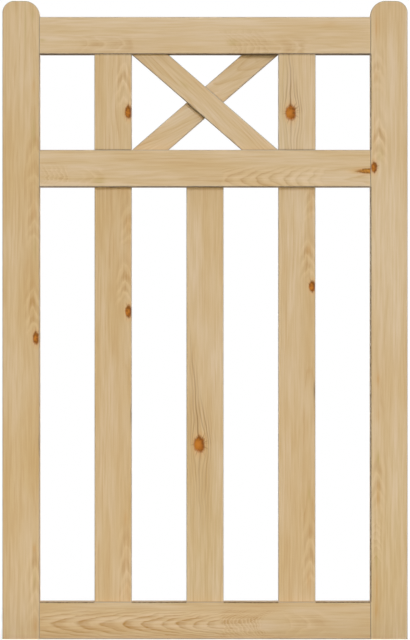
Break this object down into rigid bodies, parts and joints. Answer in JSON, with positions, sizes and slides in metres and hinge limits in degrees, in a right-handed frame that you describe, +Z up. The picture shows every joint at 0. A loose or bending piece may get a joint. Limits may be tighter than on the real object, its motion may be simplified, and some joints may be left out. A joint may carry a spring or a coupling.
{
  "type": "garden gate",
  "caption": "Framed softwood garden gate leaf with round-topped stiles, level rails, open upright bars below and crossed braces above.",
  "frame": {"origin": "bottom centre of the leaf, midway through its thickness", "axes": "+X to the right as seen from the front, -Y out of the front face, +Z up"},
  "size_m": [0.762, 0.045, 1.2],
  "materials": {
    "planed_pine": "planed bare softwood",
    "hardwood": "cut end grain, bare",
    "plated_steel": "dull plated"
  },
  "bodies": {
    "root": {"left_stile": "planed_pine", "right_stile": "planed_pine", "top_rail": "planed_pine", "middle_rail": "planed_pine", "bottom_rail": "planed_pine", "upper_left_bar": "planed_pine", "upper_right_bar": "planed_pine", "lower_left_bar": "planed_pine", "lower_centre_bar": "planed_pine", "lower_right_bar": "planed_pine", "front_brace": "planed_pine", "rear_brace": "planed_pine", "top_rail_wedges": "hardwood", "middle_rail_wedges": "hardwood", "bottom_rail_wedges": "hardwood", "top_rail_pegs": "hardwood", "middle_rail_pegs": "hardwood", "bottom_rail_pegs": "hardwood", "upper_bar_pins": "plated_steel", "lower_bar_pins": "plated_steel", "brace_end_dowels": "hardwood", "brace_screw": "plated_steel"}
  },
  "joints": []
}
